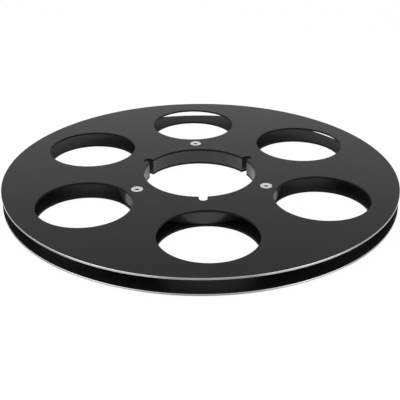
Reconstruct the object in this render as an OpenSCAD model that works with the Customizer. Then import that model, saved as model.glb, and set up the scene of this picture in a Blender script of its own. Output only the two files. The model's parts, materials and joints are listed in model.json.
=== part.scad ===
// Audio tape reel with a large centre hole, for quarter-inch tape.
// Two round flanges, each a flat aluminium disc with round windows, are held to a ring-shaped hub
// by flat-head socket screws, which are driven in from both sides. The tape winds on the hub,
// between the flanges. The flanges are one and the same piece: the lower is the upper turned over.
// The origin is on the reel's axis, in the plane of its lower outer face, with +Z up along the axis.
// One drive notch and one window face the front, which is -Y.

/* [Reel] */
// Outside diameter of the flanges
reel_d = 266.7; // [250:0.1:300]
// Width between the flanges, where the tape is wound
channel_w = 8.9; // [6:0.1:20]
// Diameter of the centre hole, which drops over the deck's spindle hub
bore_d = 76.2; // [66:0.1:84]

/* [Flanges] */
// Thickness of each flange
flange_t = 1.4; // [0.8:0.1:2]
// Chamfer on both edges of the bright rim
rim_chamfer = 0.3; // [0.05:0.05:0.35]
// Chamfer on the edges of the windows and of the centre hole
edge_chamfer = 0.1; // [0.05:0.05:0.35]

/* [Windows] */
// Number of windows in each flange
window_count = 6; // [3:1:8]
// Diameter of each window
window_d = 61.8; // [40:0.1:68]
// Distance from the hub's winding surface to the nearest edge of a window
window_setback = 0.6; // [0.5:0.1:6]

/* [Hub] */
// Wall of the hub, from the centre hole to the winding surface
hub_wall = 17.9; // [16.5:0.1:24]
// Chamfer at both ends of the winding surface
hub_chamfer = 0.3; // [0.1:0.05:0.8]

/* [Drive notches] */
// Number of drive notches round the centre hole
notch_count = 3; // [3:1:6]
// Width of each notch
notch_w = 5.6; // [4.5:0.1:8]
// Depth of each notch, from the wall of the centre hole to its round end
notch_depth = 5.6; // [4.5:0.1:8]

/* [Screws] */
// Number of screws in each flange
screw_count = 3; // [3:1:6]
// Distance from the wall of the centre hole to the axis of each screw
screw_setback = 11; // [9:0.1:13]
// Outside diameter of the screw thread
thread_d = 4; // [3:0.5:4.5]
// Pitch of the screw thread
thread_pitch = 0.7; // [0.5:0.1:1]
// Depth of the screw thread's groove
thread_depth = 0.4; // [0.2:0.05:0.6]
// Diameter of the screw head
head_d = 8; // [6.5:0.1:8.4]
// Straight edge of the head, above its cone
head_edge_h = 0.3; // [0.1:0.05:0.5]
// Depth of the head's top below the face of the flange
head_recess = 0.1; // [0.05:0.05:0.3]
// Width of the six-sided socket, across its flats
socket_w = 2.5; // [2:0.1:3]
// Depth of the six-sided socket
socket_depth = 1.5; // [0.8:0.1:1.9]
// Chamfer at the tip of the screw
tip_chamfer = 0.45; // [0.2:0.05:0.8]
// Gap between the tips of two screws that share one hole
tip_gap = 1.2; // [0.6:0.1:2.4]
// Gap all round each screw, at its head and at its thread
screw_clearance = 0.1; // [0.05:0.05:0.2]

/* [Hidden] */
// Names of the upper screws and of the lower screws, in order round the reel
UPPER_SCREWS = [for (i = [1:screw_count]) str("upper_screw_", i)];
LOWER_SCREWS = [for (i = [1:screw_count]) str("lower_screw_", i)];

// Smoothness of the large circles and of the small ones
large_fn = 240;
small_fn = 64;
// How far a cut runs past the surface that it opens
cut_over = 1;

// Colours of the finishes
flange_black = [0.07, 0.07, 0.075];
hub_black = [0.12, 0.12, 0.125];
screw_steel = [0.78, 0.78, 0.8];

// Overall thickness and the radii from the centre outwards
reel_t = channel_w + 2 * flange_t;
bore_r = bore_d / 2;
notch_end_r = bore_r + notch_depth;
screw_circle_r = bore_r + screw_setback;
hub_r = bore_r + hub_wall;
window_r = window_d / 2;
window_circle_r = hub_r + window_setback + window_r;
rim_r = reel_d / 2;

// Directions round the axis: notches and windows start at the front, screws opposite at the rear
front_angle = 270;
notch_step = 360 / notch_count;
window_step = 360 / window_count;
screw_step = 360 / screw_count;
first_screw_angle = front_angle - 180;

// Screw sizes measured down from the top of its head, which has a cone of 90 degrees
head_r = head_d / 2;
thread_r = thread_d / 2;
head_h = head_edge_h + head_r - thread_r;
screw_l = (reel_t - tip_gap) / 2 - head_recess;
thread_start = head_h + thread_pitch / 2;
thread_turns = floor((screw_l - tip_chamfer - thread_start) / thread_pitch);
socket_r = socket_w / 2 / cos(30);

// The cut for a screw's head, measured down from the face of the flange
seat_r = head_r + screw_clearance;
seat_edge_h = head_recess + head_edge_h;
hole_r = thread_r + screw_clearance;
seat_h = seat_edge_h + seat_r - hole_r;

// A disc from z = 0 to z = thick, with a chamfer on both edges of its rim
module chamfered_disc(radius, thick, chamfer) {
    rotate_extrude($fn = large_fn)
        polygon([
            [0, 0],
            [radius - chamfer, 0],
            [radius, chamfer],
            [radius, thick - chamfer],
            [radius - chamfer, thick],
            [0, thick]
        ]);
}

// The cut of a chamfer that opens upwards, for the edge of a round hole in the plane z = 0
module edge_cut(radius, chamfer, smooth) {
    translate([0, 0, -chamfer])
        cylinder(h = chamfer + cut_over, r1 = radius, r2 = radius + chamfer + cut_over, $fn = smooth);
}

// The centre hole's cut, through the whole reel
module centre_hole_cut() {
    translate([0, 0, -cut_over])
        cylinder(h = reel_t + 2 * cut_over, r = bore_r, $fn = large_fn);
}

// The drive notches' cut, through the whole reel: slots with round ends
module notch_cuts() {
    for (i = [0:notch_count - 1])
        rotate([0, 0, front_angle + notch_step * i])
            translate([0, 0, -cut_over]) {
                translate([0, -notch_w / 2, 0])
                    cube([notch_end_r - notch_w / 2, notch_w, reel_t + 2 * cut_over]);
                translate([notch_end_r - notch_w / 2, 0, 0])
                    cylinder(h = reel_t + 2 * cut_over, r = notch_w / 2, $fn = small_fn);
            }
}

// Places its children at screw number i, on the plane halfway between the reel's outer faces
module at_screw(i) {
    rotate([0, 0, first_screw_angle + screw_step * (i - 1)])
        translate([screw_circle_r, 0, reel_t / 2])
            children();
}

// The seat for one screw's head: a straight edge and a cone, opening at the flange's face
module head_seat_cut() {
    translate([0, 0, reel_t / 2 - seat_edge_h])
        cylinder(h = seat_edge_h + cut_over, r = seat_r, $fn = small_fn);
    translate([0, 0, reel_t / 2 - seat_h])
        cylinder(h = seat_r - hole_r, r1 = hole_r, r2 = seat_r, $fn = small_fn);
}

// The screw holes' cut, through the whole reel, with a seat for a head at both ends
module screw_cuts() {
    for (i = [1:screw_count])
        at_screw(i) {
            cylinder(h = reel_t, r = hole_r, center = true, $fn = small_fn);
            head_seat_cut();
            rotate([180, 0, 0]) head_seat_cut();
        }
}

// The windows' cut in a flange that lies from z = 0 to z = flange_t
module window_cuts() {
    for (i = [0:window_count - 1])
        rotate([0, 0, front_angle + window_step * i])
            translate([window_circle_r, 0, 0]) {
                translate([0, 0, -cut_over])
                    cylinder(h = flange_t + 2 * cut_over, r = window_r, $fn = large_fn);
                translate([0, 0, flange_t])
                    edge_cut(window_r, edge_chamfer, large_fn);
                rotate([180, 0, 0])
                    edge_cut(window_r, edge_chamfer, large_fn);
            }
}

// One flange, where it lies on top of the hub
module flange() {
    difference() {
        translate([0, 0, reel_t - flange_t])
            chamfered_disc(rim_r, flange_t, rim_chamfer);
        translate([0, 0, reel_t - flange_t])
            window_cuts();
        centre_hole_cut();
        translate([0, 0, reel_t])
            edge_cut(bore_r, edge_chamfer, large_fn);
        notch_cuts();
        screw_cuts();
    }
}

module upper_flange() {
    color(flange_black)
        flange();
}

// The same piece, turned over about the Y axis, which brings its notches and screw seats into line
module lower_flange() {
    color(flange_black)
        translate([0, 0, reel_t])
            rotate([0, 180, 0])
                flange();
}

module hub() {
    color(hub_black)
        difference() {
            translate([0, 0, flange_t])
                chamfered_disc(hub_r, channel_w, hub_chamfer);
            centre_hole_cut();
            notch_cuts();
            screw_cuts();
        }
}

// Half the section of a screw that points down from z = 0, with its thread as plain round grooves
function screw_section() = concat(
    [[0, 0], [head_r, 0], [head_r, -head_edge_h], [thread_r, -head_h]],
    [
        for (i = [0:1:thread_turns - 1])
            for (step = [0:1])
                [
                    thread_r - step * thread_depth,
                    -thread_start - (i + step / 2) * thread_pitch
                ]
    ],
    [
        [thread_r, -thread_start - thread_turns * thread_pitch],
        [thread_r, -screw_l + tip_chamfer],
        [thread_r - tip_chamfer, -screw_l],
        [0, -screw_l]
    ]
);

// One screw, with the top of its head at z = 0 and its tip below
module screw() {
    difference() {
        rotate_extrude($fn = small_fn)
            polygon(screw_section());
        translate([0, 0, -socket_depth])
            cylinder(h = socket_depth + cut_over, r = socket_r, $fn = 6);
    }
}

module upper_screw(i) {
    color(screw_steel)
        at_screw(i)
            translate([0, 0, reel_t / 2 - head_recess])
                screw();
}

module lower_screw(i) {
    color(screw_steel)
        at_screw(i)
            rotate([180, 0, 0])
                translate([0, 0, reel_t / 2 - head_recess])
                    screw();
}

upper_flange();
lower_flange();
hub();
for (i = [1:screw_count]) {
    upper_screw(i);
    lower_screw(i);
}
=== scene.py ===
"""Audio tape reel with a large centre hole: the looks of its flanges, hub and screws, and the studio.

Every visible piece is a surface that is worked out as grids of points, in metres, and stands where
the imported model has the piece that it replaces.
"""

import json
import math

import bpy
import numpy as np
from bpy.props import FloatProperty, FloatVectorProperty, PointerProperty
from mathutils import Matrix, Vector


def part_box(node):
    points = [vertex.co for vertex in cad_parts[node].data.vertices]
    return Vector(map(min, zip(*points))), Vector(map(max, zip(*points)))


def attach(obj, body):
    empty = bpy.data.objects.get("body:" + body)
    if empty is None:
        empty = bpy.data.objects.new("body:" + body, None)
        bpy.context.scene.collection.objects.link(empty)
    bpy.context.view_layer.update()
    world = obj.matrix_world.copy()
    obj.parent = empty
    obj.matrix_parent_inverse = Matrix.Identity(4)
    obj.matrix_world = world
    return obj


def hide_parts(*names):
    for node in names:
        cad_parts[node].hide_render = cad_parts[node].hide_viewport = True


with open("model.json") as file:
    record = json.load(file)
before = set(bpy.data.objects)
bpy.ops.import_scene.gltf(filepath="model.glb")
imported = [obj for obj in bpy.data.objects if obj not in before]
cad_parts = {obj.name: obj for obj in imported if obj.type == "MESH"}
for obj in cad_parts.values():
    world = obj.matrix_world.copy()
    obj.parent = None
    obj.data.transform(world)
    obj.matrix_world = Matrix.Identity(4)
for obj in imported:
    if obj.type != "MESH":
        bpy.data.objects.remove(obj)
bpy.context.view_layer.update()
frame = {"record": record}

bl_info = {
    "name": "Audio tape reel",
    "version": (1, 0, 0),
    "blender": (4, 5, 0),
    "location": "3D View > Sidebar > Reel",
    "description": "Makes the visible pieces of an audio tape reel and a plain studio round them",
    "category": "Object",
}

MM = 0.001
MICRON = 1.0e-6
BODY = "root"
UP = np.array([0.0, 0.0, 1.0])

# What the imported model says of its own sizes
FLANGE_LOW, FLANGE_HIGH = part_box("upper_flange")
HUB_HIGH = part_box("hub")[1]
SCREW_LOW, SCREW_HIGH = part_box("upper_screw_1")
MOUNTS = {mount["name"]: mount for mount in frame["record"]["mounts"]}

# The reel's pattern repeats in six sectors of 60 degrees, counted from the front. Each has a window.
# The even ones have a drive notch in their middle, and the odd ones a screw. Those of the screws come
# in the order of the screws' numbers.
SECTOR_COUNT = 6
SECTOR_HALF = math.pi / SECTOR_COUNT
FRONT_ANGLE = -math.pi / 2
SCREW_SECTORS = (3, 5, 1)

# Painted reflection round the rims: brighter stretches with darker ones between them, so that a darker one
# falls at the front: their count, and where a bright one peaks
RIM_SHADE_STRETCHES = 7
RIM_HIGHLIGHT_CREST = math.radians(243.0)

# How far each screw happens to be turned, in degrees, which shows in its socket
SCREW_TWISTS = {"upper": (8, 31, 49), "lower": (22, 3, 40)}

# The thread's groove is a zigzag from 0 at the crest to 1, made this much steeper and lower, then cut off
# at 0 and 1. That leaves a narrow flat on the crest and at the bottom.
GROOVE_STEEPNESS = 1.2
GROOVE_OFFSET = 0.1

# Steps along the outlines of a sector, across its faces, and round each rounded edge
BORE_STEPS = 60
NOTCH_SIDE_STEPS = 26
CORNER_STEPS = 6
NOTCH_WALL_STEPS = 3
NOTCH_END_STEPS = 14
SIDE_STEPS = 40
RIM_STEPS = 120
INNER_ROWS = 6
FACE_ROWS = 3
ROUND_STEPS = 4

# Steps of a screw: round its axis, along its thread and down its socket
SCREW_STEPS = 72
THREAD_ROWS = 60
SOCKET_ROWS = 3
SOCKET_WALLS = 6

# A grid on which points that fall together become one. No size of the reel is a multiple of its half.
MERGE_GRID = 1.37e-6

# How far a row of faces leans is the part of its normals that points up or down. Below the first of
# these it is upright, above the last it is flat. On the rims' rounds, black starts at the middle one.
UPRIGHT_LEAN = 1.0e-6
RIM_BLACK_LEAN = 0.7
FLAT_LEAN = 0.9999

# Patterns of the finishes, in features per metre
SHEET_CLOUDS = 38.0
SHEET_GRAIN = 5200.0
HANDLED_AREAS = 17.0
HUB_CLOUDS = 60.0
RIM_DULLNESS_AND_SHADE = 110.0
WEAR_GRAIN = 900.0
STEEL_MARKS = 900.0
STEEL_RINGS = 9000.0

# Weights of x and y that vary a screw's rings a little from one side to the other
RING_DRIFT = (120.0, 90.0)

# Weights of x and y in the two sums of each set of hairlines
FIRST_HAIRS = (26.0, 9.0), (-900.0, 2600.0)
SECOND_HAIRS = (2300.0, 1500.0), (-37.0, 24.0)

# Wear at an edge counts this much beside the noise, and the black goes while their sum rises between
# the two limits. The shares say how much bare metal then shows.
WEAR_WEIGHT = 0.34
WEAR_STARTS = 0.98
WEAR_FULL = 1.1
WORN_SHARE = 0.3
HUB_WORN_SHARE = 0.35

# The studio: half the floor's side, its gap below the reel, and between which directions, by their
# Y part, the room's brightness goes up
FLOOR_HALF = 4.0
FLOOR_GAP = 0.2 * MM
ROOM_FRONT = -0.9
ROOM_REAR = 0.1

# The soft boxes: place, width, height and how bright the face is. Each points at the origin.
SOFT_BOXES = {
    "overhead_box": ((0.0, -0.05, 1.3), 1.0, 0.9, 2.6),
    "left_box": ((-0.97, -0.26, 0.35), 1.0, 0.5, 1.6),
    "right_box": ((0.79, -0.61, 0.35), 0.5, 0.5, 1.3),
}


def length(label, description, default):
    """A size that a user can change, in metres."""
    return FloatProperty(
        name=label,
        description=description,
        default=default,
        precision=5,
        unit="LENGTH",
        subtype="DISTANCE",
    )


def angle(label, description, degrees):
    """An angle that a user can change."""
    return FloatProperty(
        name=label, description=description, default=math.radians(degrees), subtype="ANGLE"
    )


def share(label, description, default):
    """A number from 0 to 1 that a user can change."""
    return FloatProperty(
        name=label, description=description, default=default, min=0.0, max=1.0, subtype="FACTOR"
    )


def number(label, description, default):
    """A plain number of 1 or more that a user can change."""
    return FloatProperty(name=label, description=description, default=default, min=1.0)


def colour(label, description, default):
    """A colour that a user can change, as linear red, green and blue."""
    return FloatVectorProperty(
        name=label,
        description=description,
        default=default,
        size=3,
        min=0.0,
        max=1.0,
        subtype="COLOR",
    )


class ReelSizes(bpy.types.PropertyGroup):
    """Sizes of the flanges and of the hub."""

    rim_r: length("Rim radius", "Outer radius of both flanges", FLANGE_HIGH.x)
    reel_t: length("Thickness", "From one outer face to the other", FLANGE_HIGH.z)
    flange_t: length("Flange", "Thickness of each flange", FLANGE_HIGH.z - FLANGE_LOW.z)
    bore_r: length(
        "Bore radius", "Radius of the centre hole", MOUNTS["centre_hole"]["dims"]["r_mm"] * MM
    )
    hub_r: length("Hub radius", "Radius of the winding surface", HUB_HIGH.x)
    window_r: length("Window radius", "Radius of each window", 30.9 * MM)
    window_setback: length("Window setback", "From the winding surface to a window's edge", 0.6 * MM)
    notch_w: length("Notch width", "Width of each drive notch", 5.6 * MM)
    notch_depth: length("Notch depth", "From the centre hole's wall to a notch's round end", 5.6 * MM)
    notch_round: length("Notch corner", "Round where a notch meets the centre hole", 0.4 * MM)
    edge_round: length("Edge round", "Round along the edges of the sheet metal", 0.1 * MM)
    rim_round: length("Rim round", "Round along both edges of the rim", 0.3 * MM)
    hub_round: length("Hub round", "Round at both ends of the winding surface", 0.3 * MM)
    worn_strip: length("Worn strip", "Width of the strip beside an edge that wears with it", 0.3 * MM)
    screw_setback: length("Screw setback", "From the centre hole's wall to a screw's axis", 11.0 * MM)
    seat_r: length("Seat radius", "Radius of the seat for a screw's head", 4.1 * MM)
    seat_edge_h: length("Seat edge", "Straight wall of the seat above its cone", 0.4 * MM)
    hole_r: length("Screw hole radius", "Radius of the screw holes in the hub", 2.1 * MM)


class ScrewSizes(bpy.types.PropertyGroup):
    """Sizes of one flat-head socket screw."""

    head_r: length("Head radius", "Outer radius of the head", (SCREW_HIGH.x - SCREW_LOW.x) / 2)
    screw_l: length("Length", "From the top of the head to the tip", SCREW_HIGH.z - SCREW_LOW.z)
    head_edge_h: length("Head edge", "Straight edge of the head above its cone", 0.3 * MM)
    head_round: length("Head round", "Round on the head's upper edge", 0.12 * MM)
    thread_r: length("Thread radius", "Outer radius of the thread", 2.0 * MM)
    thread_pitch: length("Pitch", "Travel of the thread in one turn", 0.7 * MM)
    thread_depth: length("Thread depth", "Depth of the thread's groove", 0.4 * MM)
    tip_chamfer: length("Tip chamfer", "Chamfer at the tip", 0.45 * MM)
    socket_half_w: length("Socket half width", "From the axis to a flat of the socket", 1.25 * MM)
    socket_depth: length("Socket depth", "Depth of the socket's six flats", 1.4 * MM)
    socket_cone_h: length("Socket cone", "Depth of the cone at the socket's bottom", 0.35 * MM)
    socket_mouth: length("Socket mouth", "From the socket's corners to its chamfer's edge", 0.12 * MM)


class ReelFinish(bpy.types.PropertyGroup):
    """Colours and gloss of the reel's surfaces."""

    face_black: colour("Outer face", "Black of the flanges' outer faces", (0.009, 0.009, 0.0093))
    inner_black: colour("Inner face", "Black of the flanges' inner faces", (0.016, 0.016, 0.0165))
    edge_black: colour("Cut edge", "Black of the sheet's cut edges", (0.004, 0.004, 0.0042))
    hub_black: colour("Hub", "Black of the turned hub", (0.045, 0.045, 0.046))
    bare_metal: colour("Bare metal", "Aluminium where the black is worn off", (0.45, 0.45, 0.46))
    rim_bright: colour("Rim rounds", "Bare aluminium beside the rims' walls", (0.93, 0.932, 0.94))
    # Painted shade: the walls carry the rounds' bare aluminium at about half its brightness, a shaded copy
    # of one finish
    rim_wall: colour("Rim walls", "Duller aluminium of the upright walls", (0.47, 0.472, 0.48))
    # Painted shade: the rims' darker stretches, at this share of the bright ones' tone
    rim_painted_shade: share("Rim dullness", "How bright the rims' duller stretches are beside the others", 0.58)
    screw_bright: colour("Screws", "Stainless steel of the screws", (0.6, 0.6, 0.605))
    # Painted shade: the sockets' steel is darkened to stand in for the shade in their recess
    socket_painted_shade: colour("Sockets", "Darker steel inside the sockets", (0.22, 0.22, 0.22))
    face_ior: number("Outer gloss", "Refractive index of outer faces and cut edges", 1.2)
    inner_ior: number("Inner gloss", "Refractive index of the inner faces' finish", 1.14)
    hub_ior: number("Hub gloss", "Refractive index of the hub's finish", 1.43)
    face_rough: share("Outer roughness", "How far the outer faces scatter their reflections", 0.2)
    inner_rough: share("Inner roughness", "How far the inner faces scatter their reflections", 0.4)
    hub_rough: share("Hub roughness", "How far the hub scatters its reflections", 0.27)
    cut_rough: share("Cut edge roughness", "How far the cut edges scatter their reflections", 0.36)
    rim_rough: share("Rim roughness", "How far the rims scatter their reflections", 0.26)
    screw_rough: share("Screw roughness", "How far the screws scatter their reflections", 0.34)


class StudioSettings(bpy.types.PropertyGroup):
    """The camera's place and the studio's light."""

    azimuth: angle("Azimuth", "The camera's direction round the reel, from the front to +X", -2.211)
    elevation: angle("Elevation", "The camera's height above the plane of the reel", 27.316)
    roll: angle("Roll", "The camera's turn about its own line of sight", -0.531)
    distance: length("Distance", "From the camera to the reel's middle", 527.94 * MM)
    aim_right: length("Aim right", "How far the camera aims to the right of the middle", -9.56 * MM)
    aim_up: length("Aim up", "How far the camera aims above the middle", -14.5 * MM)
    lens: FloatProperty(
        name="Lens",
        description="Focal length on a sensor 36 mm wide, in millimetres",
        default=68.92,
        min=1.0,
    )
    crop: FloatProperty(
        name="Crop",
        description="How far the picture is cropped off centre to the right, as a share of its width",
        default=0.0358,
    )
    floor_white: colour("Floor", "Colour of the floor", (0.9, 0.9, 0.9))
    backdrop: share("Backdrop", "How much of the floor shows as a plain white backdrop", 0.97)
    fill: share("Fill", "How much soft light comes from beside and behind the reel", 0.5)
    front_shade: share("Front shade", "How much less soft light comes from the front", 0.7)


class Signal:
    """A shader socket that takes part in arithmetic. Each operation adds one Math node."""

    def __init__(self, graph, socket):
        self.graph = graph
        self.socket = socket

    def math(self, operation, *values):
        """The result of a Math node with that operation on the values."""
        return self.graph.node("ShaderNodeMath", {"operation": operation}, values)

    def __add__(self, other):
        return self.math("ADD", self, other)

    def __sub__(self, other):
        return self.math("SUBTRACT", self, other)

    def __rsub__(self, other):
        return self.math("SUBTRACT", other, self)

    def __mul__(self, other):
        return self.math("MULTIPLY", self, other)

    def __pow__(self, other):
        return self.math("POWER", self, other)

    __radd__ = __add__
    __rmul__ = __mul__

    def part(self, key):
        """Another output of the same node, by name or number."""
        return Signal(self.graph, self.socket.node.outputs[key])


class Graph:
    """The nodes of one material or world."""

    def __init__(self, owner):
        owner.use_nodes = True
        self.tree = owner.node_tree
        self.tree.nodes.clear()

    def node(self, kind, settings=None, values=()):
        """Adds a node, sets it up, fills its sockets with values or links, and gives its first output.

        values is a list in the sockets' order, or a dictionary by name or number.
        """
        made = self.tree.nodes.new(kind)
        for name, value in (settings or {}).items():
            setattr(made, name, value)
        for key, value in values.items() if isinstance(values, dict) else enumerate(values):
            if isinstance(value, Signal):
                self.tree.links.new(value.socket, made.inputs[key])
            else:
                made.inputs[key].default_value = value
        return Signal(self, made.outputs[0]) if made.outputs else None

    def place(self):
        """The place on the piece, in metres."""
        return self.node("ShaderNodeTexCoord").part("Object")

    def attribute(self, name, output):
        """What the mesh says of itself under that name."""
        return self.node("ShaderNodeAttribute", {"attribute_name": name}).part(output)

    def axes(self, vector):
        """The three numbers of a vector."""
        x = self.node("ShaderNodeSeparateXYZ", None, [vector])
        return x, x.part("Y"), x.part("Z")

    def vector(self, x, y, z):
        """A vector of three numbers."""
        return self.node("ShaderNodeCombineXYZ", None, [x, y, z])

    def smooth(self, signal, low, high, start=0.0, stop=1.0):
        """Goes smoothly from start to stop while the signal goes from low to high, and stays there."""
        return self.node(
            "ShaderNodeMapRange",
            {"interpolation_type": "SMOOTHSTEP"},
            {"Value": signal, "From Min": low, "From Max": high, "To Min": start, "To Max": stop},
        )

    def blend(self, amount, first, second):
        """A colour that goes from first to second as the amount goes from 0 to 1."""
        colours = [c if isinstance(c, Signal) else (*c, 1.0) for c in (first, second)]
        # A Mix node has its sockets once for each kind of data. Those for colours are 6, 7 and output 2.
        mixed = self.node(
            "ShaderNodeMix", {"data_type": "RGBA"}, {0: amount, 6: colours[0], 7: colours[1]}
        )
        return mixed.part(2)

    def noise(self, vector, scale, detail=2.0, roughness=0.5):
        """Cloudy noise round 0.5 whose features are about 1 / scale metres wide."""
        return self.node(
            "ShaderNodeTexNoise",
            None,
            {"Vector": vector, "Scale": scale, "Detail": detail, "Roughness": roughness},
        )

    def backdrop_rays(self):
        """1 for the rays that see the white backdrop: from the camera, mirrored, or through glass."""
        camera = self.node("ShaderNodeLightPath")
        mirrored = camera.math("MAXIMUM", camera, camera.part("Is Glossy Ray"))
        return camera.math("MAXIMUM", mirrored, camera.part("Is Transmission Ray"))

    def surface(self, base, roughness, height, depth, **uniform):
        """The shader: base colour, roughness and a relief whose height of 1 is depth metres high.

        uniform holds what is the same all over, under the shader's own names, with _ for a space.
        """
        normal = self.node("ShaderNodeBump", None, {"Distance": depth, "Height": height})
        values = {"Base Color": base, "Roughness": roughness, "Normal": normal}
        values |= {name.replace("_", " "): value for name, value in uniform.items()}
        shader = self.node("ShaderNodeBsdfPrincipled", None, values)
        self.node("ShaderNodeOutputMaterial", None, {"Surface": shader})


def scaled(tint, factor):
    """A colour times a factor."""
    return tuple(factor * part for part in tint)


def worn_edges(graph, place):
    """1 where the black is worn off: where wear, which the mesh gives, and fine noise add up high."""
    wear = graph.attribute("wear", "Fac") * WEAR_WEIGHT
    return graph.smooth(wear + graph.noise(place, WEAR_GRAIN, 4.0, 0.65), WEAR_STARTS, WEAR_FULL)


def hairlines(graph, place, weights):
    """Fine straight lines: noise of two weighted sums of x and y, one that changes fast and one slowly.

    weights are those of x and y in the first sum, then in the second.
    """
    x, y, z = graph.axes(place)
    (first_x, first_y), (second_x, second_y) = weights
    spot = graph.vector(x * first_x + y * first_y, x * second_x + y * second_y, z)
    return graph.noise(spot, 1.0, 1.0)


def lathe_lines(graph, place, around, along, detail, roughness=0.5):
    """Lines round the reel: noise with few features per metre around it, and many along its axis."""
    x, y, z = graph.axes(place)
    return graph.noise(graph.vector(x * around, y * around, z * along), 1.0, detail, roughness)


def black_sheet(name, finish, black, ior, rough):
    """Satin black anodised sheet: fine grain, faint clouds and hairlines, and bare metal on worn edges."""
    material = bpy.data.materials.new(name)
    graph = Graph(material)
    place = graph.place()
    clouds = graph.noise(place, SHEET_CLOUDS, 4.0, 0.55)
    grain = graph.noise(place, SHEET_GRAIN, 2.0, 0.6)
    handled = graph.smooth(graph.noise(place, HANDLED_AREAS, 3.0), 0.48, 0.7)
    first_hairs = hairlines(graph, place, FIRST_HAIRS)
    second_hairs = hairlines(graph, place, SECOND_HAIRS)
    hairs = graph.smooth(first_hairs.math("MAXIMUM", first_hairs, second_hairs), 0.74, 0.82) * handled
    shade = graph.blend(clouds, scaled(black, 0.82), scaled(black, 1.18))
    base = graph.blend(worn_edges(graph, place) * WORN_SHARE, shade, finish.bare_metal)
    roughness = rough + (clouds - 0.5) * 0.16 - handled * 0.035 + hairs * 0.1 + (grain - 0.5) * 0.1
    graph.surface(base, roughness, grain + hairs * -0.8, 2.0 * MICRON, IOR=ior)
    return material


def black_cut(finish):
    """Black cut edges of the sheet, and the rims' rounds next to its faces: fine level lines."""
    material = bpy.data.materials.new("black_cut")
    graph = Graph(material)
    place = graph.place()
    marks = lathe_lines(graph, place, around=60.0, along=4000.0, detail=2.0)
    base = graph.blend(worn_edges(graph, place) * WORN_SHARE, finish.edge_black, finish.bare_metal)
    graph.surface(base, finish.cut_rough + marks * 0.16, marks, 1.5 * MICRON, IOR=finish.face_ior)
    return material


def black_hub(finish):
    """Black anodised turned metal: fine lathe lines round the reel's axis."""
    material = bpy.data.materials.new("black_hub")
    graph = Graph(material)
    place = graph.place()
    lines = lathe_lines(graph, place, around=24.0, along=2400.0, detail=3.0, roughness=0.6)
    clouds = graph.noise(place, HUB_CLOUDS, 3.0)
    shade = graph.blend(clouds, scaled(finish.hub_black, 0.8), scaled(finish.hub_black, 1.2))
    base = graph.blend(worn_edges(graph, place) * HUB_WORN_SHARE, shade, finish.bare_metal)
    roughness = finish.hub_rough + (lines - 0.5) * 0.12 + (clouds - 0.5) * 0.1
    turned = {"IOR": finish.hub_ior, "Anisotropic": 0.3, "Anisotropic_Rotation": 0.25}
    graph.surface(base, roughness, lines, 1.5 * MICRON, **turned)
    return material


def bare_rim(name, finish, tone):
    """Bare aluminium, turned after the black was put on: lathe lines, and painted reflection as brighter
    and darker stretches round the rim.

    The stretches follow the cosine of the direction times their count, roughened by noise. tone is the
    material's light level: the walls get a darker tone than the rounds, as painted shade.
    """
    material = bpy.data.materials.new(name)
    graph = Graph(material)
    place = graph.place()
    x, y = graph.axes(place)[:2]
    lines = lathe_lines(graph, place, around=34.0, along=5000.0, detail=3.0, roughness=0.6)
    dull_and_shade = graph.smooth(graph.noise(place, RIM_DULLNESS_AND_SHADE, 4.0, 0.6), 0.45, 0.75)
    # Painted reflection: fixed bright and dark stretches round the rim, whatever the light
    around = y.math("ARCTAN2", y, x) - RIM_HIGHLIGHT_CREST
    waves = around.math("COSINE", around * RIM_SHADE_STRETCHES)
    painted_light = graph.smooth(waves + (dull_and_shade - 0.5) * 0.5, -0.7, 0.7)
    base = graph.blend(painted_light, scaled(tone, finish.rim_painted_shade), tone)
    roughness = finish.rim_rough + (lines - 0.5) * 0.16 + dull_and_shade * 0.07
    turned = {"Metallic": 1.0, "Anisotropic": 0.6, "Anisotropic_Rotation": 0.25}
    graph.surface(base, roughness, lines, 1.5 * MICRON, **turned)
    return material


def steel(name, tint, rough):
    """Turned stainless steel: fine rings round the screw's own axis, and faint handling marks."""
    material = bpy.data.materials.new(name)
    graph = Graph(material)
    own = graph.attribute("own_place", "Vector")
    x, y, z = graph.axes(own)
    from_axis = (x * x + y * y) ** 0.5
    drift = x * RING_DRIFT[0] + y * RING_DRIFT[1]
    spot = graph.vector(from_axis * STEEL_RINGS, drift, z * STEEL_RINGS)
    rings = graph.noise(spot, 1.0, 3.0, 0.65)
    marks = graph.noise(own, STEEL_MARKS, 4.0, 0.6)
    base = graph.blend(marks, scaled(tint, 0.85), scaled(tint, 1.1))
    roughness = rough + (rings - 0.5) * 0.22 + (marks - 0.5) * 0.12
    turned = {"Metallic": 1.0, "Anisotropic": 0.4, "Anisotropic_Rotation": 0.25}
    graph.surface(base, roughness, rings, 1.0 * MICRON, **turned)
    return material


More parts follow.
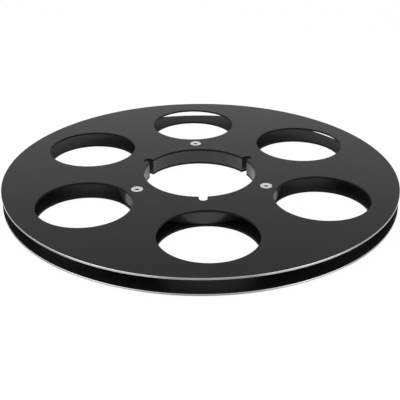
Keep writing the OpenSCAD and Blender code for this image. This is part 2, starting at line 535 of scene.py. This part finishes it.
class Surface:
    """Grids of points with normals, finish and wear, which become one closed mesh."""

    def __init__(self):
        self.turn = 0.0
        self.count = 0
        self.points = []
        self.normals = []
        self.wear = []
        self.faces = []
        self.finishes = []

    def turned(self, vectors):
        """Vectors turned about the Z axis by the surface's present turn."""
        cos, sin = math.cos(self.turn), math.sin(self.turn)
        return vectors @ np.array([[cos, sin, 0.0], [-sin, cos, 0.0], [0.0, 0.0, 1.0]])

    def add(self, points, normals, finish=0, wear=0.0, closed=False):
        """Adds a grid of points, rows by columns. If closed, its last column joins its first.

        finish is one number, or one for each row of faces, and wear one number, or one for each row.
        """
        rows, columns = points.shape[:2]
        index = self.count + np.arange(rows * columns).reshape(rows, columns)
        if closed:
            index = np.concatenate([index, index[:, :1]], 1)
        faces = np.stack([index[:-1, :-1], index[1:, :-1], index[1:, 1:], index[:-1, 1:]], -1)
        each_face = np.broadcast_to(np.reshape(finish, (-1, 1)), faces.shape[:2])
        each_point = np.broadcast_to(np.reshape(wear, (-1, 1)), (rows, columns))
        self.points.append(self.turned(points).reshape(-1, 3))
        self.normals.append(self.turned(np.broadcast_to(normals, points.shape)).reshape(-1, 3))
        self.wear.append(each_point.ravel())
        self.faces.append(faces.reshape(-1, 4))
        self.finishes.append(each_face.ravel())
        self.count += rows * columns

    def sweep(self, line, into, shape, finish, flats=None, closed=False):
        """Carries a section along a line: point = line + offset * into, at the section's height.

        finish is one number, or one for each row of faces. If two finishes are given as flats, the rows
        that face straight up take the first, and those that face straight down the second.
        """
        offsets, normals, wear = shape
        grid = np.empty((len(offsets), len(line), 3))
        grid[..., :2] = line + offsets[:, None, :1] * into
        grid[..., 2] = offsets[:, None, 1]
        facing = np.empty_like(grid)
        facing[..., :2] = normals[:, None, :1] * into
        facing[..., 2] = normals[:, None, 1]
        finishes = np.broadcast_to(finish, len(offsets) - 1)
        if flats is not None:
            tilt = (normals[:-1, 1] + normals[1:, 1]) / 2
            finishes = np.where(tilt > FLAT_LEAN, flats[0], finishes)
            finishes = np.where(tilt < -FLAT_LEAN, flats[1], finishes)
        self.add(grid, facing, finishes, wear, closed)

    def face(self, first, second, rows, z, up, finish, closed=False):
        """A flat face between two lines of points at the height z."""
        shares = np.linspace(0.0, 1.0, rows + 1)[:, None, None]
        plan = first + shares * (second - first)
        height = np.full(plan.shape[:2] + (1,), z)
        self.add(np.concatenate([plan, height], -1), up, finish, closed=closed)

    def mesh(self, name, matrix):
        """The closed mesh, placed by the matrix. Points that fall together on the fine grid become one.

        Each face is turned the way its normals point, and a corner that repeats its neighbour is left
        out, so that a grid may end in a pole.
        """
        own, normals = np.concatenate(self.points), np.concatenate(self.normals)
        faces, finishes = np.concatenate(self.faces), np.concatenate(self.finishes)
        diagonals = own[faces[:, 2]] - own[faces[:, 0]], own[faces[:, 3]] - own[faces[:, 1]]
        facing = np.einsum("ij,ij->i", np.cross(*diagonals), normals[faces].sum(1))
        faces = np.where((facing < 0)[:, None], faces[:, ::-1], faces)
        cells = np.round(own / MERGE_GRID).astype(np.int64)
        _, first, merged = np.unique(cells, axis=0, return_index=True, return_inverse=True)
        corners = merged.reshape(-1)[faces]
        kept = corners != np.roll(corners, 1, axis=1)
        sides = kept.sum(1)
        kept &= (sides > 2)[:, None]
        finishes, sides = finishes[sides > 2], sides[sides > 2]
        turn, shift = np.array(matrix)[:3, :3], np.array(matrix)[:3, 3]
        mesh = bpy.data.meshes.new(name)
        mesh.vertices.add(len(first))
        mesh.vertices.foreach_set("co", (own[first] @ turn.T + shift).ravel())
        mesh.loops.add(int(sides.sum()))
        mesh.loops.foreach_set("vertex_index", corners[kept])
        mesh.polygons.add(len(sides))
        mesh.polygons.foreach_set("loop_start", np.cumsum(sides) - sides)
        mesh.polygons.foreach_set("material_index", finishes)
        mesh.polygons.foreach_set("use_smooth", np.ones(len(sides), bool))
        mesh.update(calc_edges=True)
        if mesh.validate():
            raise RuntimeError(f"the mesh of {name} had faulty faces")
        wear = mesh.attributes.new("wear", "FLOAT", "POINT")
        wear.data.foreach_set("value", np.concatenate(self.wear)[first])
        own_place = mesh.attributes.new("own_place", "FLOAT_VECTOR", "POINT")
        own_place.data.foreach_set("vector", own[first].ravel())
        mesh.normals_split_custom_set(normals[faces[kept]] @ turn.T)
        return mesh


def arc(centre, radius, start, stop, steps):
    """Points centre + radius * (cos a, sin a) with a from start to stop, and their directions."""
    angles = np.linspace(start, stop, steps + 1)
    away = np.stack([np.cos(angles), np.sin(angles)], -1)
    return np.asarray(centre) + radius * away, away


def directions(centre, points):
    """Directions from the centre to each point."""
    away = points - np.asarray(centre)
    return away / np.linalg.norm(away, axis=1, keepdims=True)


def left_of(way):
    """The way turned a quarter to the left."""
    return np.stack([-way[..., 1], way[..., 0]], -1)


def section(corners, rounds):
    """Points, normals and wear along a bent line with rounded corners, and with the metal on its left.

    A corner of radius R that turns by t becomes an arc from R * tan(t / 2) before it. While the heading
    goes from the way in to the way out, the point is start + R * (left of the way in - left of heading).
    R takes the sign of t, which is positive to the left. The normal is to the right of the heading.
    Rounds that stand out from the metal wear.
    """
    corners = np.asarray(corners)
    ways = directions((0.0, 0.0), np.diff(corners, axis=0))
    points, headings, wear = [corners[:1]], [ways[:1]], [0.0]
    for corner, radius, way_in, way_out in zip(corners[1:-1], rounds, ways, ways[1:]):
        turn = math.atan2(left_of(way_in) @ way_out, way_in @ way_out)
        steps = ROUND_STEPS if radius else 1
        angles = np.linspace(0.0, turn, steps + 1)[:, None]
        heading = np.cos(angles) * way_in + np.sin(angles) * left_of(way_in)
        bend = math.copysign(radius, turn)
        start = corner - bend * math.tan(turn / 2) * way_in
        points.append(start + bend * (left_of(way_in) - left_of(heading)))
        headings.append(heading)
        wear += [1.0 if bend > 0 else 0.0] * (steps + 1)
    points.append(corners[-1:])
    headings.append(ways[-1:])
    return np.concatenate(points), -left_of(np.concatenate(headings)), np.array([*wear, 0.0])


def wall_section(offset, high, low, rounding, strip):
    """The wall of a hole or rim with a rounded edge at both ends, and a strip of each face beside it."""
    return section(
        [(offset + strip, high), (offset, high), (offset, low), (offset + strip, low)],
        [rounding, rounding],
    )


def bore_line(sizes):
    """The centre hole's wall in a sector without a notch: points, and directions into the metal."""
    return arc((0, 0), sizes.bore_r, -SECTOR_HALF, SECTOR_HALF, BORE_STEPS)


def notch_line(sizes):
    """The centre hole's wall in a sector with a notch: points, and directions into the metal.

    The hole's arc runs into a small round corner. Its centre lies in the metal, where the hole's circle
    and the notch's wall would cross if both were moved there by the corner's radius. Then come the
    straight wall and half of the round end, and the other half is the mirror image.
    """
    half_w, corner_r = sizes.notch_w / 2, sizes.notch_round
    corner_y = half_w + corner_r
    corner_x = math.sqrt((sizes.bore_r + corner_r) ** 2 - corner_y**2)
    start = math.atan2(-corner_y, corner_x)
    end_x = sizes.bore_r + sizes.notch_depth - half_w
    hole, hole_away = arc((0, 0), sizes.bore_r, -SECTOR_HALF, start, NOTCH_SIDE_STEPS)
    corner, corner_away = arc(
        (corner_x, -corner_y), corner_r, start + math.pi, math.pi / 2, CORNER_STEPS
    )
    wall_x = np.linspace(corner_x, end_x, NOTCH_WALL_STEPS + 1)
    wall = np.stack([wall_x, np.full_like(wall_x, -half_w)], -1)
    end, end_away = arc((end_x, 0), half_w, -math.pi / 2, 0, NOTCH_END_STEPS)
    points = np.concatenate([hole[:-1], corner[:-1], wall[:-1], end])
    into = np.concatenate(
        [hole_away[:-1], -corner_away[:-1], np.tile([0.0, -1.0], (NOTCH_WALL_STEPS, 1)), end_away]
    )
    mirror = np.array([1.0, -1.0])
    return (
        np.concatenate([points, points[-2::-1] * mirror]),
        np.concatenate([into, into[-2::-1] * mirror]),
    )


def outline(inner, outer, steps):
    """A closed line of points: out along one side, along the outer line, back in, and along the inner."""
    shares = np.linspace(0.0, 1.0, steps + 1)[:, None]
    out = inner[0] + shares * (outer[0] - inner[0])
    back = outer[-1] + shares * (inner[-1] - outer[-1])
    return np.concatenate([out[:-1], outer[:-1], back[:-1], inner[:0:-1]])


def inner_band(surface, sizes, high, low, has_screw, seat, wall, flats):
    """A flange's or the hub's band round the centre hole in one sector, out to halfway to the windows.

    seat is the section of the screw's hole, wall the walls' finish and flats the finishes of the upper
    and of the lower face. Gives the band's outer line of points.
    """
    line, into = bore_line(sizes) if has_screw else notch_line(sizes)
    strip = sizes.worn_strip
    hole_wall = wall_section(0.0, high, low, sizes.edge_round, strip)
    surface.sweep(line, into, hole_wall, wall, flats)
    inner = line + strip * into
    ledge_r = (sizes.bore_r + sizes.screw_setback + sizes.seat_r + sizes.hub_r) / 2
    ledge = ledge_r * directions((0, 0), inner)
    if not has_screw:
        surface.face(inner, ledge, INNER_ROWS, high, UP, flats[0])
        surface.face(inner, ledge, INNER_ROWS, low, -UP, flats[1])
        return ledge
    centre = np.array([sizes.bore_r + sizes.screw_setback, 0.0])
    around = outline(inner, ledge, INNER_ROWS)
    away = directions(centre, around)
    surface.sweep(np.tile(centre, (len(away), 1)), away, seat, wall, flats, closed=True)
    first_r, last_r = seat[0][0, 0], seat[0][-1, 0]
    surface.face(centre + first_r * away, around, FACE_ROWS, high, UP, flats[0], closed=True)
    surface.face(centre + last_r * away, around, FACE_ROWS, low, -UP, flats[1], closed=True)
    return ledge


def under_head_r(sizes):
    """Radius of a screw seat's cone of 90 degrees where it leaves the flange and enters the hub."""
    return sizes.seat_r - (sizes.flange_t - sizes.seat_edge_h)


def flange_surface(sizes):
    """One flange, from z = 0 at its inner face up to its outer face."""
    outer_sheet, inner_sheet, cut, rim_round, rim_upright_shaded = range(5)
    flats = outer_sheet, inner_sheet
    surface = Surface()
    thick, strip = sizes.flange_t, sizes.worn_strip
    narrow_r = under_head_r(sizes)
    seat = section(
        [
            (sizes.seat_r + strip, thick),
            (sizes.seat_r, thick),
            (sizes.seat_r, thick - sizes.seat_edge_h),
            (narrow_r, 0.0),
            (narrow_r + strip, 0.0),
        ],
        [sizes.edge_round, 0.0, 0.0],
    )
    window_centre = np.array([sizes.hub_r + sizes.window_setback + sizes.window_r, 0.0])
    window = wall_section(sizes.window_r, thick, 0.0, sizes.edge_round, strip)
    rim_strip = sizes.rim_round + strip
    rim_wall = wall_section(0.0, thick, 0.0, sizes.rim_round, rim_strip)
    # The black runs over the half of each round that is next to a face
    lean = np.abs(rim_wall[1][:-1, 1] + rim_wall[1][1:, 1]) / 2
    # Upright rows take the painted-shade copy of the rim's aluminium, the rounds the bright one
    bare = np.where(lean < UPRIGHT_LEAN, rim_upright_shaded, rim_round)
    rim_finishes = np.where(lean < RIM_BLACK_LEAN, bare, cut)
    rim, rim_away = arc((0, 0), sizes.rim_r, -SECTOR_HALF, SECTOR_HALF, RIM_STEPS)
    for sector in range(SECTOR_COUNT):
        surface.turn = FRONT_ANGLE + 2 * SECTOR_HALF * sector
        has_screw = sector in SCREW_SECTORS
        ledge = inner_band(surface, sizes, thick, 0.0, has_screw, seat, cut, flats)
        around = outline(ledge, rim - rim_strip * rim_away, SIDE_STEPS)
        away = directions(window_centre, around)
        window_line = np.tile(window_centre, (len(away), 1))
        surface.sweep(window_line, away, window, cut, flats, closed=True)
        hole = window_centre + (sizes.window_r + strip) * away
        surface.face(hole, around, FACE_ROWS, thick, UP, outer_sheet, closed=True)
        surface.face(hole, around, FACE_ROWS, 0.0, -UP, inner_sheet, closed=True)
        surface.sweep(rim, -rim_away, rim_wall, rim_finishes, flats)
    return surface


def hub_surface(sizes):
    """The hub, between the flanges: the notched bore, the screw holes and the winding surface."""
    surface = Surface()
    low, high = sizes.flange_t, sizes.reel_t - sizes.flange_t
    strip, hub_strip = sizes.worn_strip, 2 * sizes.hub_round
    mouth_r = under_head_r(sizes)
    sink = mouth_r - sizes.hole_r
    seat = section(
        [
            (mouth_r + strip, high),
            (mouth_r, high),
            (sizes.hole_r, high - sink),
            (sizes.hole_r, low + sink),
            (mouth_r, low),
            (mouth_r + strip, low),
        ],
        [0.0, 0.0, 0.0, 0.0],
    )
    winding = wall_section(0.0, high, low, sizes.hub_round, hub_strip)
    for sector in range(SECTOR_COUNT):
        surface.turn = FRONT_ANGLE + 2 * SECTOR_HALF * sector
        ledge = inner_band(surface, sizes, high, low, sector in SCREW_SECTORS, seat, 0, (0, 0))
        away = directions((0, 0), ledge)
        outer = (sizes.hub_r - hub_strip) * away
        surface.face(ledge, outer, 1, high, UP, 0)
        surface.face(ledge, outer, 1, low, -UP, 0)
        surface.sweep(sizes.hub_r * away, -away, winding, 0)
    return surface


def grid_normals(grid):
    """Normals of a grid that closes on itself: the cross product of its steps along both ways."""
    along = np.gradient(grid, axis=0)
    across = np.roll(grid, -1, axis=1) - np.roll(grid, 1, axis=1)
    normals = np.cross(across, along)
    return normals / np.linalg.norm(normals, axis=2, keepdims=True)


def thread_grid(sizes, angles, top):
    """The screw's right-hand thread, from the tip up to the head.

    Its phase is height / pitch - angle / full turn. The radius falls from the crest at phase 0 to the
    groove's flat bottom at phase 0.5, fades out under the head, and stays inside the tip's chamfer.
    """
    z = np.linspace(-sizes.screw_l, top, THREAD_ROWS + 1)[:, None]
    phase = (z / sizes.thread_pitch - angles / (2 * math.pi)) % 1.0
    ramp = 1.0 - np.abs(2.0 * phase - 1.0)
    groove = np.clip(GROOVE_STEEPNESS * ramp - GROOVE_OFFSET, 0.0, 1.0)
    fade = np.clip((top - z) / sizes.thread_pitch, 0.0, 1.0)
    radius = sizes.thread_r - sizes.thread_depth * groove * fade
    chamfer = sizes.thread_r - np.maximum(sizes.tip_chamfer - (z + sizes.screw_l), 0.0)
    radius = np.minimum(radius, chamfer)
    return np.stack([radius * np.cos(angles), radius * np.sin(angles), z + 0.0 * radius], -1)


def screw_surface(sizes):
    """One flat-head socket screw on the Z axis, with the top of its head at z = 0 and its tip below."""
    # The socket's walls and bottom take the painted-shade finish
    steel_finish, socket_shade_finish = 0, 1
    surface = Surface()
    angles = np.linspace(0.0, 2 * math.pi, SCREW_STEPS, endpoint=False)
    away = np.stack([np.cos(angles), np.sin(angles)], -1)
    axis = np.zeros_like(away)
    head_h = sizes.head_edge_h + sizes.head_r - sizes.thread_r
    corner_r = sizes.socket_half_w / math.cos(math.pi / SOCKET_WALLS)
    mouth_r = corner_r + sizes.socket_mouth
    tip = section(
        [(0.0, -sizes.screw_l), (sizes.thread_r - sizes.tip_chamfer, -sizes.screw_l)], []
    )
    head = section(
        [
            (sizes.thread_r, -head_h),
            (sizes.head_r, -sizes.head_edge_h),
            (sizes.head_r, 0.0),
            (mouth_r, 0.0),
        ],
        [0.0, sizes.head_round],
    )
    surface.sweep(axis, away, tip, steel_finish, closed=True)
    thread = thread_grid(sizes, angles, -head_h)
    surface.add(thread, grid_normals(thread), steel_finish, closed=True)
    surface.sweep(axis, away, head, steel_finish, closed=True)
    # The socket's mouth is a cone of 90 degrees, cut by the six flats
    wall_angle = 2 * math.pi / SOCKET_WALLS
    flat_r = sizes.socket_half_w / np.cos(angles % wall_angle - wall_angle / 2)
    rim = np.concatenate([flat_r[:, None] * away, (flat_r - mouth_r)[:, None]], 1)
    mouth = np.concatenate([mouth_r * away, np.zeros((SCREW_STEPS, 1))], 1)
    slope = np.concatenate([-away, np.ones((SCREW_STEPS, 1))], 1) / math.sqrt(2.0)
    surface.add(np.stack([mouth, rim]), slope, steel_finish, closed=True)
    floor = rim * [1.0, 1.0, 0.0] - sizes.socket_depth * UP
    shares = np.linspace(0.0, 1.0, SOCKET_ROWS + 1)[:, None, None]
    walls = rim + shares * (floor - rim)
    per_wall = SCREW_STEPS // SOCKET_WALLS
    for wall in range(SOCKET_WALLS):
        columns = np.arange(wall * per_wall, (wall + 1) * per_wall + 1) % SCREW_STEPS
        middle = wall_angle * (wall + 0.5)
        facing = np.array([-math.cos(middle), -math.sin(middle), 0.0])
        surface.add(walls[:, columns], facing, socket_shade_finish)
    # The socket's bottom is a shallow cone that ends in one point on the axis
    pole = -(sizes.socket_depth + sizes.socket_cone_h) * UP
    bottom = np.stack([floor, np.tile(pole, (SCREW_STEPS, 1))])
    tilt = np.array([sizes.socket_cone_h, corner_r]) / math.hypot(sizes.socket_cone_h, corner_r)
    cone = np.concatenate([-tilt[0] * away, np.full((SCREW_STEPS, 1), tilt[1])], 1)
    surface.add(bottom, cone, socket_shade_finish, closed=True)
    return surface


def place_piece(mesh, materials, node):
    """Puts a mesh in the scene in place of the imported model's node, on the reel's one body."""
    for material in materials:
        mesh.materials.append(material)
    piece = bpy.data.objects.new(mesh.name, mesh)
    bpy.context.scene.collection.objects.link(piece)
    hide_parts(node)
    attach(piece, BODY)
    return piece


class REEL_OT_flanges(bpy.types.Operator):
    """Makes both flanges. The lower is the upper turned over about the Y axis"""

    bl_idname = "reel.flanges"
    bl_label = "Flanges"

    def execute(self, context):
        sizes, finish = context.scene.reel_sizes, context.scene.reel_finish
        outer = finish.face_black, finish.face_ior, finish.face_rough
        inner = finish.inner_black, finish.inner_ior, finish.inner_rough
        materials = [
            black_sheet("black_outer_face", finish, *outer),
            black_sheet("black_inner_face", finish, *inner),
            black_cut(finish),
            # The walls' material is the rounds' aluminium darkened as painted shade
            bare_rim("bright_rim_round", finish, finish.rim_bright),
            bare_rim("turned_rim_wall_painted_shade", finish, finish.rim_wall),
        ]
        surface = flange_surface(sizes)
        upper = Matrix.Translation((0, 0, sizes.reel_t - sizes.flange_t))
        lower = Matrix.Translation((0, 0, sizes.flange_t)) @ Matrix.Rotation(math.pi, 4, "Y")
        place_piece(surface.mesh("upper_flange_sheet", upper), materials, "upper_flange")
        place_piece(surface.mesh("lower_flange_sheet", lower), materials, "lower_flange")
        return {"FINISHED"}


class REEL_OT_hub(bpy.types.Operator):
    """Makes the hub between the flanges"""

    bl_idname = "reel.hub"
    bl_label = "Hub"

    def execute(self, context):
        surface = hub_surface(context.scene.reel_sizes)
        mesh = surface.mesh("hub_ring", Matrix.Identity(4))
        place_piece(mesh, [black_hub(context.scene.reel_finish)], "hub")
        return {"FINISHED"}


class REEL_OT_screws(bpy.types.Operator):
    """Makes the three screws of each flange"""

    bl_idname = "reel.screws"
    bl_label = "Screws"

    def execute(self, context):
        scene = context.scene
        sizes, reel, finish = scene.screw_sizes, scene.reel_sizes, scene.reel_finish
        materials = [
            steel("screw_steel", finish.screw_bright, finish.screw_rough),
            # Painted shade: the sockets take a darkened copy of the screws' steel
            steel("socket_steel_painted_shade", finish.socket_painted_shade, finish.screw_rough),
        ]
        surface = screw_surface(sizes)
        out = Matrix.Translation((reel.bore_r + reel.screw_setback, 0, 0))
        for side, flip in (("upper", 0.0), ("lower", math.pi)):
            for index, (sector, twist) in enumerate(zip(SCREW_SECTORS, SCREW_TWISTS[side]), 1):
                node = f"{side}_screw_{index}"
                low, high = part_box(node)
                top = low.z if side == "lower" else high.z
                around = Matrix.Rotation(FRONT_ANGLE + 2 * SECTOR_HALF * sector, 4, "Z")
                stand = Matrix.Rotation(flip, 4, "X") @ Matrix.Rotation(math.radians(twist), 4, "Z")
                matrix = Matrix.Translation((0, 0, top)) @ around @ out @ stand
                place_piece(surface.mesh(f"{node}_turned", matrix), materials, node)
        return {"FINISHED"}


def place_camera(settings, middle):
    """A camera that looks at the reel's middle from an azimuth and elevation, and aims a little past it.

    Its axes are right = (cos a, sin a, 0), back = (sin a cos e, -cos a cos e, sin e) and up = back x right.
    """
    a, e = settings.azimuth, settings.elevation
    right = Vector((math.cos(a), math.sin(a), 0.0))
    back = Vector((math.sin(a) * math.cos(e), -math.cos(a) * math.cos(e), math.sin(e)))
    axes = Matrix((right, back.cross(right), back)).transposed().to_4x4()
    axes = axes @ Matrix.Rotation(settings.roll, 4, "Z")
    spot = middle + axes @ Vector((settings.aim_right, settings.aim_up, settings.distance))
    camera = bpy.data.objects.new("camera", bpy.data.cameras.new("camera"))
    camera.data.lens = settings.lens
    camera.data.shift_x = settings.crop
    camera.matrix_world = Matrix.Translation(spot) @ axes
    bpy.context.scene.collection.objects.link(camera)
    bpy.context.scene.camera = camera


def soft_lamp(name, spot, width, height, glow):
    """A soft box: an area lamp at the spot that points at the origin. glow is how bright its face is."""
    lamp = bpy.data.lights.new(name, "AREA")
    lamp.shape = "RECTANGLE"
    lamp.size, lamp.size_y = width, height
    lamp.energy = glow * math.pi * width * height
    box = bpy.data.objects.new(name, lamp)
    towards = (Vector() - Vector(spot)).to_track_quat("-Z", "Y").to_matrix().to_4x4()
    box.matrix_world = Matrix.Translation(spot) @ towards
    box.visible_camera = False
    bpy.context.scene.collection.objects.link(box)


def studio_world(settings):
    """White to the camera, in reflections and through glass. Its soft light is that of a grey room.

    The room is darker in front: its brightness goes smoothly up from front to rear.
    """
    world = bpy.data.worlds.new("studio")
    bpy.context.scene.world = world
    graph = Graph(world)
    shown = graph.backdrop_rays()
    to_rear = graph.axes(graph.node("ShaderNodeTexCoord"))[1]
    room = graph.smooth(to_rear, ROOM_FRONT, ROOM_REAR, 1.0 - settings.front_shade, 1.0) * settings.fill
    glow = {"Color": (1.0, 1.0, 1.0, 1.0), "Strength": shown + (1.0 - shown) * room}
    light = graph.node("ShaderNodeBackground", None, glow)
    graph.node("ShaderNodeOutputWorld", None, {"Surface": light})


def studio_floor(settings, below):
    """A large pale floor that shows as the white backdrop and is clear from below."""
    mesh = bpy.data.meshes.new("floor")
    sides = ((-1, -1), (1, -1), (1, 1), (-1, 1))
    corners = [(FLOOR_HALF * x, FLOOR_HALF * y, below) for x, y in sides]
    mesh.from_pydata(corners, [], [(0, 1, 2, 3)])
    material = bpy.data.materials.new("floor")
    material.cycles.emission_sampling = "NONE"
    graph = Graph(material)
    shown = graph.backdrop_rays()
    pale = graph.node("ShaderNodeBsdfDiffuse", None, {"Color": (*settings.floor_white, 1.0)})
    white = graph.node("ShaderNodeEmission", None, {"Strength": 1.0})
    clear = graph.node("ShaderNodeBsdfTransparent")
    upper = graph.node("ShaderNodeMixShader", None, [shown * settings.backdrop, pale, white])
    from_below = graph.node("ShaderNodeNewGeometry").part("Backfacing")
    both = graph.node("ShaderNodeMixShader", None, [from_below, upper, clear])
    graph.node("ShaderNodeOutputMaterial", None, {"Surface": both})
    mesh.materials.append(material)
    floor = bpy.data.objects.new("floor", mesh)
    bpy.context.scene.collection.objects.link(floor)


class REEL_OT_studio(bpy.types.Operator):
    """Makes the camera, the soft light and the pale floor"""

    bl_idname = "reel.studio"
    bl_label = "Studio"

    def execute(self, context):
        settings = context.scene.studio_settings
        middle = Vector((0.0, 0.0, context.scene.reel_sizes.reel_t / 2))
        place_camera(settings, middle)
        studio_world(settings)
        studio_floor(settings, -FLOOR_GAP)
        for name, box in SOFT_BOXES.items():
            soft_lamp(name, *box)
        context.scene.view_settings.view_transform = "Standard"
        return {"FINISHED"}


OPERATORS = (REEL_OT_studio, REEL_OT_flanges, REEL_OT_hub, REEL_OT_screws)


class REEL_PT_pieces(bpy.types.Panel):
    """Buttons for the pieces of the reel and for the studio"""

    bl_idname = "REEL_PT_pieces"
    bl_label = "Audio tape reel"
    bl_space_type = "VIEW_3D"
    bl_region_type = "UI"
    bl_category = "Reel"

    def draw(self, context):
        for operator in OPERATORS:
            self.layout.operator(operator.bl_idname)


GROUPS = {
    "reel_sizes": ReelSizes,
    "screw_sizes": ScrewSizes,
    "reel_finish": ReelFinish,
    "studio_settings": StudioSettings,
}


def register():
    for made in (*GROUPS.values(), *OPERATORS, REEL_PT_pieces):
        bpy.utils.register_class(made)
    for name, group in GROUPS.items():
        setattr(bpy.types.Scene, name, PointerProperty(type=group))


def unregister():
    for name in GROUPS:
        delattr(bpy.types.Scene, name)
    for made in (REEL_PT_pieces, *OPERATORS, *GROUPS.values()):
        bpy.utils.unregister_class(made)


def main():
    """Makes everything."""
    register()
    bpy.ops.reel.studio()
    bpy.ops.reel.flanges()
    bpy.ops.reel.hub()
    bpy.ops.reel.screws()


if __name__ == "__main__":
    main()
